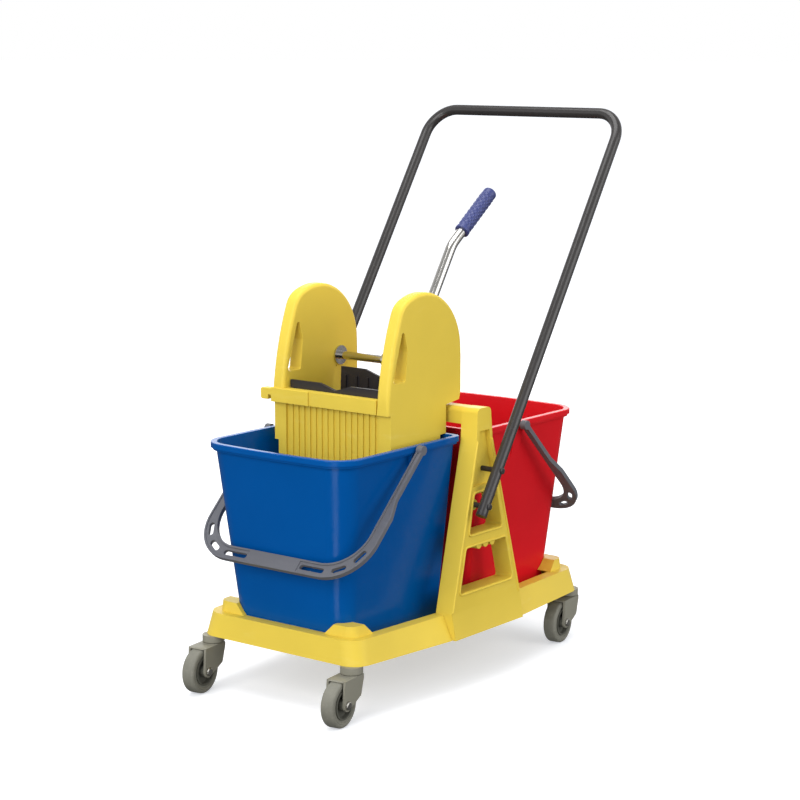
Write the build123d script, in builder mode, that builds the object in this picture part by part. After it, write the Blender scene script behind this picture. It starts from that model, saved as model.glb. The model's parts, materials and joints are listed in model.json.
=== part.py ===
from build123d import *
import os
from math import cos, pi, radians, sin, sqrt, tan

# Twin-bucket mop trolley with a lever wringer and a push handle.
# Millimetres, +Z up, origin on the floor at the middle of the trolley. X runs along it, with the
# washing bucket and its wringer at -X and the rinsing bucket at +X, where the user pushes.
# Y runs across it, with the left side at -Y.

# Clearances
running_gap = 0.05
face_gap = 0.5
lift_gap = 0.3
screw_gap = 0.25

# Casters
wheel_radius = 37.5
wheel_width = 24.0
tyre_depth = 13.0
tread_crown = 2.5
hub_width = 26.0
hub_web = 9.0
hub_boss_radius = 9.5
wheel_axle_radius = 4.0
axle_head_radius = 7.0
axle_head_height = 4.0
axle_nut_height = 5.0
caster_half_base = 309.0
caster_half_track = 149.0
caster_trail = 40.0
caster_turn = 8.0
neck_radius = 18.5
neck_height = 12.0
stem_radius = 4.0
stem_depth = 13.0
stem_head_radius = 8.0
stem_head_height = 3.5
crown_front = 25.0
crown_back = 9.0
crown_height = 6.5
fork_plate = 4.0
fork_foot_radius = 10.0
fork_lip = 7.0
fork_waist = (-3.0, 47.0)
wheel_room = 2.5

# Base tray
tray_bottom = 90.0
tray_height = 40.0
tray_end_margin = 12.0
tray_side_margin = 19.0
tray_mid_proud = 0.5
tray_mid_margin = 7.0
tray_end_slope = 4.5
tray_side_slope_end = 9.0
tray_side_slope_mid = 19.0
tray_corner_radius = 34.0
tray_wall = 4.0
tray_ledge = 20.0
deck_drop = 18.0
deck_thickness = 4.0
stem_boss_radius = 8.0
deck_rib_width = 4.0
deck_rib_height = 12.0
deck_rib_pitch = 110.0
lug_height = 18.0
lug_side_length = 68.0
lug_end_half_gap = 87.0
lug_draft = 8.0
lug_slope = 45.0
lug_outer_inset = 14.0

# Buckets
bucket_height = 308.0
bucket_wall = 3.0
bucket_floor = 4.0
rim_overhang = 17.0
rim_inner_end = 22.0
rim_half_width = 155.0
rim_bow = 8.0
rim_end_radius = 52.0
rim_inner_radius = 16.0
rim_height = 9.0
rim_lip_end = 7.0
rim_lip_inner = 6.0
rim_lip_side = 8.0
rim_skirt = 3.0
rim_step_height = 4.0
rim_step_width = 3.5
bucket_taper_end = 37.0
bucket_taper_inner = 8.0
bucket_taper_side = 29.0
bucket_bow_loss = 4.0
bucket_end_radius = 34.0
bucket_inner_radius = 12.0

# Bails
bail_pivot_x = 146.7
bail_pivot_drop = 6.0
bail_rest_angle = 44.5
bail_end_gap = 58.7
bail_width = 26.0
bail_thickness = 8.0
bail_arm_width = 11.0
bail_side_gap = 3.0
bail_flare = 9.0
bail_flare_start = 100.0
bail_flare_length = 34.0
bail_bend_radius = 78.0
bail_border = 3.5
bail_web_drop = 2.0
bail_grip_half_width = 54.0
bail_window_width = 9.0
bail_window_length = 26.0
bail_pin_radius = 4.0
bail_pin_depth = 9.5
bail_eye_radius = 8.0
pivot_boss_half_width = 11.0
pivot_gusset_height = 68.0

# Side frames
frame_depth = 33.0
frame_rim_gap = 2.5
frame_lean = 1.2
frame_foot_half_width = 97.0
frame_shoulder_z = 134.0
frame_neck_z = 412.0
frame_neck_half_width = 22.5
frame_top_z = 466.0
frame_top_half_width = 18.5
frame_top_radius = 9.0
frame_skin = 5.0
frame_flange = 4.0
foot_proud = 7.0
lower_window_z = (163.0, 237.0)
lower_leg_width = (14.2, 13.4)
upper_window_z = (258.0, 325.0)
upper_leg_width = (16.8, 14.8)
window_radius = 5.0
panel_z = (336.0, 428.0)
panel_inset = 9.0
panel_drop = 9.0
hook_radius = 7.0
hook_pitch = 19.0
beam_height = 28.0
beam_half_width = 17.0
beam_wall = 4.0
splice_half_length = 60.0
frame_screw_radius = 2.5
screw_head_radius = 5.0
screw_head_height = 3.0
foot_screw_pitch = 60.0
splice_screw_pitch = 36.0

# Push handle
tube_radius = 9.5
tube_wall = 1.5
handle_standoff = 11.66
handle_rise = 0.65
handle_low_z = 296.0
handle_low_x = -40.0
handle_top_z = 940.0
handle_bend_radius = 52.0
handle_bolt_z = (308.0, 363.0)
bolt_radius = 3.0
bolt_head_radius = 5.5
bolt_head_height = 3.0
bolt_nut_radius = 6.0
bolt_nut_height = 5.0
spacer_radius = 4.5
bolt_boss_radius = 9.0
plug_length = 14.0

# Wringer body
ear_rim_gap = 55.8
ear_thickness = 25.0
ear_edge_radius = 7.0
ear_wall = 4.0
ear_low_back = (17.0, 545.0)
ear_crown = [(-149.5, 632.0), (-130.0, 652.5), (16.0, 565.0)]
ear_front_lean = 6.0
ear_rear_foot = (8.0, 474.0)
ear_rear_knee_z = 500.0
ear_notch_z = 469.5
ear_slot = [(-143.0, 612.0), (-171.0, 526.0), (-168.0, 521.0), (-138.0, 521.0), (-132.5, 572.0)]
ear_slot_radius = 4.0
wringer_front = 177.0
wringer_back = 28.0
wringer_seat_back = 44.0
wringer_low_thickness = 16.8
wringer_step_z = 405.0
wringer_low_radius = 12.0
wringer_bottom_z = 250.0
wringer_wall = 3.5
band_z = (470.0, 494.0)
band_front = 184.0
band_plate_start = 43.0
band_plate_proud = 3.0
front_wall_drop = 4.5
rib_count = 15
rib_width = 5.0
rib_proud = 3.0
ledge_height = 7.0
ledge_front_gap = 7.0
leg_width = 22.0
leg_inset = 15.2
leg_setback = 10.0
clip_reach = 22.8
clip_notch_width = 6.8
clip_z = (473.0, 492.5)
clip_depth = 14.0
clip_notch_height = 8.0
drain_hole_radius = 5.0
drain_pitch = 20.0
drain_hole_counts = (5, 9)
drain_thickness = 5.0

# Press mechanism
axle_x = -35.0
axle_z = 534.0
axle_radius = 7.0
axle_bush_wall = 4.0
axle_bush_length = 17.0
axle_washer_radius = 16.5
axle_washer_height = 3.0
lever_y = -50.0
lever_angle = 57.3
lever_lower = 225.0
lever_upper_angle = 36.5
lever_upper = 136.0
lever_bend_radius = 60.0
lever_radius = 9.0
lever_wall = 1.5
collar_radius = 14.0
collar_width = 26.0
socket_length = 34.0
socket_wall = 3.5
grip_length = 102.0
grip_radius = 12.5
grip_groove_pitch = 6.0
grip_groove_depth = 0.8
grip_cap = 4.0
press_arm_length = 80.0
press_arm_thickness = 14.0
press_arm_y = -10.0
press_collar_width = 18.0
press_bar_radius = 9.0
press_bar_end_gap = 21.2
spring_wire_radius = 1.6
spring_turns = 6
spring_pitch = 4.2
spring_room = 0.4
spring_leg = 14.0
spring_bend_radius = 4.0
spring_hook_depth = 3.0
spring_end_room = 2.0
plate_hinge_x = -58.0
rear_plate_lean = 2.4
plate_hinge_z = 266.0
plate_thickness = 5.0
plate_rod_radius = 4.0
plate_knuckle_radius = 8.0
plate_knuckle_length = 24.0
rear_plate_side_gap = 15.2
rear_plate_top_z = 517.0
front_plate_side_gap = 3.2
front_plate_top_z = 508.0
front_plate_lean = 10.0
plate_flange = 4.0
plate_flange_z = 440.0
plate_screw_z = 452.0
plate_screw_ribs = (-5, 0, 5)
plate_screw_grip = 5.0
plate_driver_radius = 6.0
plate_notch_half_width = 32.0
plate_notch_depth = 10.0
plate_rib_pitch = 24.0
plate_rib_count = 7
rear_plate_rib_count = 7
plate_rib_margin = 14.0
plate_rib_proud = 3.0
plate_rib_width = 3.0
plate_knuckle_spread = 66.0

# Worked-out places
tray_top = tray_bottom + tray_height
tray_half_length = caster_half_base + tray_end_margin
tray_end_half_width = caster_half_track + tray_side_margin
frame_inner_y = rim_half_width + frame_rim_gap
tray_mid_half_width = frame_inner_y + frame_depth + tray_mid_proud
tray_mid_half_length = frame_foot_half_width + tray_mid_margin
deck_z = tray_top - deck_drop
bucket_base_z = deck_z + lift_gap
rim_z = bucket_base_z + bucket_height
rim_end = tray_half_length + rim_overhang
bail_pivot_z = rim_z - bail_pivot_drop
bail_inner_y = rim_half_width + bail_side_gap
bail_reach = rim_end - bail_pivot_x + bail_end_gap
ear_inner_y = rim_half_width - ear_rim_gap
ear_outer_y = ear_inner_y + ear_thickness
wringer_low_half_width = ear_inner_y + wringer_low_thickness
leg_half_spread = ear_inner_y - leg_inset
press_bar_half_length = ear_inner_y - press_bar_end_gap
rear_plate_half_width = ear_inner_y - rear_plate_side_gap
front_plate_half_width = ear_inner_y - front_plate_side_gap
fork_half_gap = hub_width / 2 + face_gap
fork_half_width = fork_half_gap + fork_plate
crown_top = tray_bottom - neck_height - face_gap
crown_bottom = crown_top - crown_height
stem_foot = crown_bottom - face_gap - stem_head_height
lean = radians(frame_lean)
frame_low_front_y = frame_inner_y + frame_depth / cos(lean) - (handle_low_z - tray_bottom) * tan(lean)
handle_half_width = frame_low_front_y + handle_standoff + tube_radius
handle_top_x = handle_low_x + handle_rise * (handle_top_z - handle_low_z)
beam_bottom_z = frame_top_z - beam_height
ear_low_front = (-band_front, band_z[1])
wringer_seat_z = rim_z + lift_gap
front_wall_x = -wringer_front + front_wall_drop
front_inner_x = front_wall_x + wringer_wall
back_inner_x = -wringer_seat_back - wringer_wall
rib_pitch = 2 * (ear_inner_y - rib_width) / rib_count
grate_top_z = wringer_bottom_z + drain_thickness
spring_mean_radius = axle_radius + spring_room + spring_wire_radius
spring_hook_x = axle_x - spring_mean_radius
spring_hook_z = axle_z - spring_leg - spring_bend_radius

os.makedirs("parts", exist_ok=True)


def keep(builder, name, place=Location()):
    """Names a finished piece, puts it in its place and writes it to its file."""
    piece = builder.part.moved(place)
    piece.label = name
    export_step(piece, f"parts/{name}.step")


def bar_along_y(radius, y_from, y_to, x, z, mode=Mode.ADD):
    """Round bar or hole along Y between two stations."""
    with Locations((x, (y_from + y_to) / 2, z)):
        Cylinder(radius, abs(y_to - y_from), rotation=(90, 0, 0), mode=mode)


def block(x_span, y_span, z_span, mode=Mode.ADD):
    """Box given by its lowest and highest station on each axis."""
    spans = (x_span, y_span, z_span)
    centre = [(low + high) / 2 for low, high in spans]
    with Locations(tuple(centre)):
        Box(*[high - low for low, high in spans], mode=mode)


# Plans that several pieces share

def tray_section(height, inset, level):
    """Plan of the tray at a level of its skirt, drawn at a height and moved in by an inset."""
    share = (level - tray_bottom) / tray_height
    length = tray_half_length - share * tray_end_slope - inset
    end = tray_end_half_width - share * tray_side_slope_end - inset
    middle = tray_mid_half_width - share * tray_side_slope_mid - inset
    with BuildSketch(Plane.XY.offset(height)) as section:
        with BuildLine():
            Polyline(
                (length, end),
                (tray_mid_half_length, middle),
                (-tray_mid_half_length, middle),
                (-length, end),
                (-length, -end),
                (-tray_mid_half_length, -middle),
                (tray_mid_half_length, -middle),
                (length, -end),
                close=True,
            )
        make_face()
        columns = section.vertices().group_by(Axis.X)
        fillet(columns[0] + columns[-1], tray_corner_radius - min(inset, tray_ledge))
    return section.sketch


def bucket_section(height, end, inner, half_width, bow, end_radius, inner_radius):
    """Rounded plan of the washing bucket, with its outer end bowed."""
    with BuildSketch(Plane.XY.offset(height)) as section:
        with BuildLine():
            Polyline(
                (-end + bow, half_width),
                (-inner, half_width),
                (-inner, -half_width),
                (-end + bow, -half_width),
            )
            ThreePointArc((-end + bow, -half_width), (-end, 0), (-end + bow, half_width))
        make_face()
        fillet(section.vertices().group_by(Axis.X)[0], end_radius)
        fillet(section.vertices().group_by(Axis.X)[-1], inner_radius)
    return section.sketch


def bucket_wall_section(height, inset):
    """Plan of the washing bucket's wall at a height, moved in by an inset."""
    share = (rim_z - height) / bucket_height
    top_radius = rim_end_radius - rim_lip_side
    return bucket_section(
        height,
        rim_end - rim_lip_end - share * bucket_taper_end - inset,
        rim_inner_end + rim_lip_inner + share * bucket_taper_inner + inset,
        bucket_half_width(height) - inset,
        rim_bow - share * bucket_bow_loss,
        top_radius + share * (bucket_end_radius - top_radius) - inset,
        bucket_inner_radius - inset,
    )


def bucket_half_width(height):
    """Half-width of the bucket's wall at a height."""
    share = (rim_z - height) / bucket_height
    return rim_half_width - rim_lip_side - share * bucket_taper_side


def rim_section(height, inset):
    """Plan of the washing bucket's rim, moved in by an inset."""
    return bucket_section(
        height,
        rim_end - inset,
        rim_inner_end + inset,
        rim_half_width - inset,
        rim_bow,
        rim_end_radius - inset,
        rim_inner_radius - inset,
    )


# Base tray: a drafted skirt with a ledge round a sunk deck, hollow from below

tray_notch_y = frame_inner_y - tray_height * tan(radians(frame_lean)) - face_gap / 2
tray_notch_half_width = frame_foot_half_width + face_gap
reach = 2 * tray_half_length

with BuildPart() as tray_hollow:
    loft(
        [
            tray_section(tray_bottom - tray_wall, tray_wall, tray_bottom),
            tray_section(tray_top - tray_wall, tray_wall, tray_top - tray_wall),
        ],
        ruled=True,
    )
    extrude(
        tray_section(deck_z - deck_thickness, tray_ledge - tray_wall, tray_top),
        amount=tray_height,
        mode=Mode.SUBTRACT,
    )
    for side in (-1, 1):
        block(
            (-tray_notch_half_width - tray_wall, tray_notch_half_width + tray_wall),
            sorted((side * (tray_notch_y - tray_wall), side * reach)),
            (tray_bottom - tray_wall, tray_top),
            mode=Mode.SUBTRACT,
        )
    with GridLocations(deck_rib_pitch, 0, 5, 1):
        with Locations((0, 0, deck_z - deck_thickness - deck_rib_height / 2)):
            Box(deck_rib_width, reach, deck_rib_height, mode=Mode.SUBTRACT)
    with Locations((0, 0, tray_bottom + (stem_depth + tray_wall) / 2 - tray_wall / 2)):
        with GridLocations(2 * caster_half_base, 2 * caster_half_track, 2, 2):
            Cylinder(stem_boss_radius, stem_depth + 2 * tray_wall, mode=Mode.SUBTRACT)

with BuildPart() as bucket_room:
    lug_top = tray_top + lug_height
    loft([bucket_wall_section(deck_z, -lift_gap), bucket_wall_section(lug_top, -2 * lift_gap)], ruled=True)
    mirror(about=Plane.YZ)

with BuildPart() as corner_lugs:
    extrude(tray_section(tray_top, lug_outer_inset, tray_top), amount=lug_height, taper=lug_draft)
    lug_run = lug_height / tan(radians(lug_slope))
    for plane, low in ((Plane.XZ, tray_half_length - lug_side_length), (Plane.YZ, lug_end_half_gap)):
        with BuildSketch(plane) as gap:
            Polygon(
                (-low, tray_top),
                (low, tray_top),
                (low + lug_run, lug_top),
                (-low - lug_run, lug_top),
                align=None,
            )
        extrude(gap.sketch, amount=reach, both=True, mode=Mode.SUBTRACT)
    add(bucket_room.part, mode=Mode.SUBTRACT)

with BuildPart() as base_tray:
    loft([tray_section(tray_bottom, 0, tray_bottom), tray_section(tray_top, 0, tray_top)], ruled=True)
    add(tray_hollow.part, mode=Mode.SUBTRACT)
    extrude(tray_section(deck_z, tray_ledge, tray_top), amount=deck_drop, mode=Mode.SUBTRACT)
    add(corner_lugs.part)
    for side in (-1, 1):
        block(
            (-tray_notch_half_width, tray_notch_half_width),
            sorted((side * tray_notch_y, side * reach)),
            (tray_bottom - tray_wall, tray_top + tray_wall),
            mode=Mode.SUBTRACT,
        )
    with Locations((0, 0, tray_bottom + stem_depth / 2)):
        with GridLocations(2 * caster_half_base, 2 * caster_half_track, 2, 2):
            Cylinder(stem_radius, stem_depth, mode=Mode.SUBTRACT)
    foot_screw_z = deck_z + deck_drop / 2
    for x in (-foot_screw_pitch, 0, foot_screw_pitch):
        bar_along_y(frame_screw_radius + screw_gap, -reach / 2, reach / 2, x, foot_screw_z, Mode.SUBTRACT)
keep(base_tray, "base_tray")


# Casters: a fixed neck and stem, a swivelling fork, and a wheel on its axle bolt

def caster(prefix, place):
    """All the pieces of one caster, drawn round its stem's axis and then put in place."""
    axle_at = (-caster_trail, wheel_radius)
    rim_radius = wheel_radius - tyre_depth

    with BuildPart() as stem:
        with Locations((0, 0, tray_bottom - neck_height / 2)):
            Cylinder(neck_radius, neck_height)
        fillet(stem.edges().group_by(Axis.Z)[0], face_gap * 3)
        stem_length = tray_bottom + stem_depth - stem_foot
        with Locations((0, 0, stem_foot + stem_length / 2)):
            Cylinder(stem_radius, stem_length)
        with Locations((0, 0, stem_foot + stem_head_height / 2)):
            Cylinder(stem_head_radius, stem_head_height)
    keep(stem, f"{prefix}_caster_stem", place)

    with BuildPart() as fork:
        block((-crown_front, crown_back), (-fork_half_width, fork_half_width), (crown_bottom, crown_top))
        fork_front = caster_trail + fork_lip
        for y_plate in (-fork_half_gap, fork_half_width):
            with BuildSketch(Plane.XZ.offset(-y_plate)) as plate:
                with Locations(axle_at):
                    Circle(fork_foot_radius)
                with Locations(fork_waist):
                    Circle(fork_plate)
                with Locations(((crown_back - fork_front) / 2, crown_bottom + crown_height / 2)):
                    Rectangle(crown_back + fork_front, crown_height)
                make_hull()
            extrude(plate.sketch, amount=fork_plate)
        tyre_room = wheel_radius + wheel_room
        bar_along_y(tyre_room, -fork_half_gap, fork_half_gap, *axle_at, Mode.SUBTRACT)
        bar_along_y(wheel_axle_radius, -neck_radius, neck_radius, *axle_at, Mode.SUBTRACT)
        with Locations((0, 0, crown_bottom)):
            Cylinder(stem_radius + running_gap, 3 * crown_height, mode=Mode.SUBTRACT)
    keep(fork, f"{prefix}_fork", place)

    with BuildPart() as axle:
        bolt_end = fork_half_width + axle_nut_height + face_gap
        bar_along_y(wheel_axle_radius, -fork_half_width, bolt_end, *axle_at)
        head_end = -fork_half_width - axle_head_height
        bar_along_y(axle_head_radius, head_end, -fork_half_width, *axle_at)
        fillet(axle.edges().group_by(Axis.Y)[0], axle_head_height / 2)
    keep(axle, f"{prefix}_axle_bolt", place)

    with BuildPart() as nut:
        with BuildSketch(Plane.XZ.offset(-fork_half_width)) as hexagon:
            with Locations(axle_at):
                RegularPolygon(axle_head_radius, 6)
                Circle(wheel_axle_radius, mode=Mode.SUBTRACT)
        extrude(hexagon.sketch, amount=-axle_nut_height)
    keep(nut, f"{prefix}_axle_nut", place)

    with BuildPart() as hub:
        rim_end_y = wheel_width / 2 - face_gap
        bar_along_y(rim_radius, -rim_end_y, rim_end_y, *axle_at)
        for side in (-1, 1):
            cup_ends = sorted((side * hub_web / 2, side * wheel_width))
            bar_along_y(rim_radius - hub_web / 3, *cup_ends, *axle_at, Mode.SUBTRACT)
        bar_along_y(hub_boss_radius, -hub_width / 2, hub_width / 2, *axle_at)
        bar_along_y(wheel_axle_radius + running_gap, -hub_width, hub_width, *axle_at, Mode.SUBTRACT)
    keep(hub, f"{prefix}_hub", place)

    with BuildPart() as tyre:
        bar_along_y(wheel_radius, -wheel_width / 2, wheel_width / 2, *axle_at)
        fillet(tyre.edges().filter_by(GeomType.CIRCLE), tyre_depth / 3)
        bar_along_y(rim_radius, -wheel_width, wheel_width, *axle_at, Mode.SUBTRACT)
        for side in (-1, 1):
            step_ends = sorted((side * (wheel_width / 2 - tread_crown), side * wheel_width))
            bar_along_y(rim_radius + tyre_depth / 3, *step_ends, *axle_at, Mode.SUBTRACT)
    keep(tyre, f"{prefix}_tyre", place)


for end_name, sign_x in (("front", -1), ("rear", 1)):
    for side_name, sign_y in (("left", -1), ("right", 1)):
        stem_at = (sign_x * caster_half_base, sign_y * caster_half_track, 0)
        caster(f"{end_name}_{side_name}", Location(stem_at, (0, 0, caster_turn)))


# Buckets: a drafted shell with a hollow rolled rim and a boss for the bail on each side

def bucket_side_boss(side):
    """Solid stretch of rim with a tapering gusset below it, where the bail pivots."""
    low_z = rim_z - rim_height - pivot_gusset_height
    x_span = (-bail_pivot_x - pivot_boss_half_width, -bail_pivot_x + pivot_boss_half_width)
    wall_y = bucket_half_width(rim_z) - bucket_wall
    y_span = sorted((side * wall_y, side * (rim_half_width - rim_skirt / 2)))
    block(x_span, y_span, (rim_z - rim_height, rim_z))
    with BuildSketch(Plane.YZ.offset(x_span[0])) as gusset:
        with BuildLine():
            Polyline(
                (side * (bucket_half_width(low_z) - bucket_wall / 2), low_z),
                (side * (rim_half_width - rim_skirt / 2), rim_z - rim_height),
                (side * (bucket_half_width(rim_z) - bucket_wall), rim_z - rim_height),
                close=True,
            )
        make_face()
    extrude(gusset.sketch, amount=2 * pivot_boss_half_width)
    hole_bottom = rim_half_width - bail_pin_depth - bail_side_gap
    hole_ends = sorted((side * hole_bottom, side * (rim_half_width + bail_side_gap)))
    bar_along_y(bail_pin_radius + running_gap, *hole_ends, -bail_pivot_x, bail_pivot_z, Mode.SUBTRACT)


with BuildPart() as blue_bucket:
    loft([bucket_wall_section(bucket_base_z, 0), bucket_wall_section(rim_z, 0)], ruled=True)
    fillet(blue_bucket.edges().group_by(Axis.Z)[0], bucket_floor)
    extrude(rim_section(rim_z - rim_height, 0), amount=rim_height)
    extrude(rim_section(rim_z - rim_height - rim_step_height, rim_step_width), amount=rim_step_height)
    loft(
        [
            bucket_wall_section(bucket_base_z + bucket_floor, bucket_wall),
            bucket_wall_section(rim_z, bucket_wall),
        ],
        ruled=True,
        mode=Mode.SUBTRACT,
    )
    for side in (-1, 1):
        bucket_side_boss(side)
    fillet(blue_bucket.edges().group_by(Axis.Z)[-1], rim_skirt / 2)
keep(blue_bucket, "blue_bucket")

with BuildPart() as red_bucket:
    mirror(blue_bucket.part, about=Plane.YZ)
keep(red_bucket, "red_bucket")


# Bails: a flat moulded strap in a plane through the pivots, windowed, with a plain grip

bail_drop = radians(bail_rest_angle)
bail_plane = Plane(
    origin=(-bail_pivot_x, 0, bail_pivot_z),
    x_dir=(0, 1, 0),
    z_dir=(-sin(bail_drop), 0, cos(bail_drop)),
)


def bail_outline(inset):
    """The strap's face in its own plane, moved in from its edges by an inset."""
    arm_outer = bail_inner_y + bail_arm_width
    bend_outer = arm_outer + bail_flare
    flare_end = bail_flare_start + bail_flare_length
    outer_reach = bail_reach + bail_width / 2
    inner_reach = bail_reach - bail_width / 2
    with BuildSketch(bail_plane) as outline:
        with BuildLine():
            Polyline(
                (arm_outer, 0),
                (arm_outer, bail_flare_start),
                (bend_outer, flare_end),
                (bend_outer, outer_reach),
                (-bend_outer, outer_reach),
                (-bend_outer, flare_end),
                (-arm_outer, bail_flare_start),
                (-arm_outer, 0),
                close=True,
            )
        make_face()
        fillet(outline.vertices().group_by(Axis.Y)[-1], bail_bend_radius)
        with BuildSketch(mode=Mode.PRIVATE) as gap:
            with BuildLine():
                Polyline(
                    (bail_inner_y, 0),
                    (bail_inner_y, inner_reach),
                    (-bail_inner_y, inner_reach),
                    (-bail_inner_y, 0),
                    close=True,
                )
            make_face()
            fillet(gap.vertices().group_by(Axis.Y)[-1], bail_bend_radius - bail_width / 2)
        add(gap.sketch, mode=Mode.SUBTRACT)
        if inset > 0:
            offset(amount=-inset, mode=Mode.REPLACE)
    return outline.sketch


with BuildPart() as blue_bail:
    extrude(bail_outline(0), amount=bail_thickness / 2, both=True)
    with BuildSketch(bail_plane.offset(bail_thickness / 2)) as web:
        add(bail_plane.to_local_coords(bail_outline(bail_border)))
        with Locations((0, bail_reach)):
            Rectangle(2 * bail_grip_half_width, 2 * bail_width, mode=Mode.SUBTRACT)
    extrude(amount=-bail_web_drop, mode=Mode.SUBTRACT)
    bend_centre_y = bail_inner_y + bail_arm_width + bail_flare - bail_bend_radius
    bend_centre_reach = bail_reach + bail_width / 2 - bail_bend_radius
    bend_mid_radius = bail_bend_radius - bail_width / 2
    with BuildSketch(bail_plane) as windows:
        for side in (-1, 1):
            for station in (0.35, 0.85):
                span = bend_centre_y - bail_grip_half_width
                with Locations((side * (bail_grip_half_width + station * span), bail_reach)):
                    SlotOverall(bail_window_length, bail_window_width)
            for turn in (30, 65):
                at_y = bend_centre_y + bend_mid_radius * sin(radians(turn))
                at_reach = bend_centre_reach + bend_mid_radius * cos(radians(turn))
                with Locations(Location((side * at_y, at_reach), -side * turn)):
                    SlotOverall(bail_window_length, bail_window_width)
    extrude(amount=bail_thickness, both=True, mode=Mode.SUBTRACT)
    for side in (-1, 1):
        eye_ends = sorted((side * bail_inner_y, side * (bail_inner_y + bail_arm_width)))
        bar_along_y(bail_eye_radius, *eye_ends, -bail_pivot_x, bail_pivot_z)
        pin_ends = sorted((side * (rim_half_width - bail_pin_depth), side * (bail_inner_y + bail_arm_width)))
        bar_along_y(bail_pin_radius, *pin_ends, -bail_pivot_x, bail_pivot_z)
keep(blue_bail, "blue_bail")

with BuildPart() as red_bail:
    mirror(blue_bail.part, about=Plane.YZ)
keep(red_bail, "red_bail")


# Side frames: leaning channel-section A-frames, each with half of the beam that bridges them

frame_plane = Plane(
    origin=(0, -frame_inner_y, tray_bottom),
    x_dir=(1, 0, 0),
    z_dir=(0, -cos(lean), sin(lean)),
)
frame_front_plane = frame_plane.offset(frame_depth)


def frame_half_width(z):
    """Half-width of the A-frame at a height above its shoulder."""
    share = (z - frame_shoulder_z) / (frame_neck_z - frame_shoulder_z)
    return frame_foot_half_width + share * (frame_neck_half_width - frame_foot_half_width)


def frame_front_y(z):
    """Y of the left frame's front face at a height."""
    return -frame_inner_y - frame_depth / cos(lean) + (z - tray_bottom) * tan(lean)


def trapezium(half_widths, heights):
    """Four corners of an upright symmetrical trapezium, as heights above the tray's lower edge."""
    low, high = (height - tray_bottom for height in heights)
    return [(-half_widths[0], low), (half_widths[0], low), (half_widths[1], high), (-half_widths[1], high)]


def frame_outline(inset):
    """The A-frame's face with its two windows, moved in from every edge by an inset."""
    with BuildSketch(frame_plane) as outline:
        with BuildLine():
            Polyline(
                (-frame_foot_half_width, 0),
                (frame_foot_half_width, 0),
                (frame_foot_half_width, frame_shoulder_z - tray_bottom),
                (frame_neck_half_width, frame_neck_z - tray_bottom),
                (frame_top_half_width, frame_top_z - tray_bottom),
                (-frame_top_half_width, frame_top_z - tray_bottom),
                (-frame_neck_half_width, frame_neck_z - tray_bottom),
                (-frame_foot_half_width, frame_shoulder_z - tray_bottom),
                close=True,
            )
        make_face()
        fillet(outline.vertices().group_by(Axis.Y)[-1], frame_top_radius)
        with BuildSketch(mode=Mode.PRIVATE) as windows:
            for leg_widths, heights in ((lower_leg_width, lower_window_z), (upper_leg_width, upper_window_z)):
                half_widths = [frame_half_width(z) - width for z, width in zip(heights, leg_widths)]
                Polygon(*trapezium(half_widths, heights), align=None)
            fillet(windows.vertices(), window_radius)
        add(windows.sketch, mode=Mode.SUBTRACT)
        hook_z = lower_window_z[1] - tray_bottom
        with Locations((-hook_pitch, hook_z), (0, hook_z), (hook_pitch, hook_z)):
            Circle(hook_radius)
        if inset > 0:
            offset(amount=-inset, mode=Mode.REPLACE)
    return outline.sketch


def panel_block(inset, depth, mode):
    """Slab or recess in the upper panel, let in from the front face."""
    low, high = panel_z
    margin = panel_inset - inset
    heights = (low - margin, high + margin)
    half_widths = [frame_half_width(min(z, frame_neck_z)) - inset for z in heights]
    with BuildSketch(frame_front_plane) as panel:
        Polygon(*trapezium(half_widths, heights), align=None)
    extrude(panel.sketch, amount=-depth, mode=mode)


def handle_bolt_x(z):
    """X of the push handle's leg at a height."""
    return handle_low_x + handle_rise * (z - handle_low_z)


def spacer_foot_y(z):
    """Distance from the middle plane to the face that a handle spacer stands on."""
    drop = panel_drop if panel_z[0] < z < panel_z[1] else 0
    return -frame_front_y(z) - drop / cos(lean) + spacer_radius * tan(lean)


def nut_seat_y(z):
    """Distance from the middle plane to the face that a handle nut draws up against."""
    return spacer_foot_y(z) - frame_skin / cos(lean) - 2 * spacer_radius * tan(lean)


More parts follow.
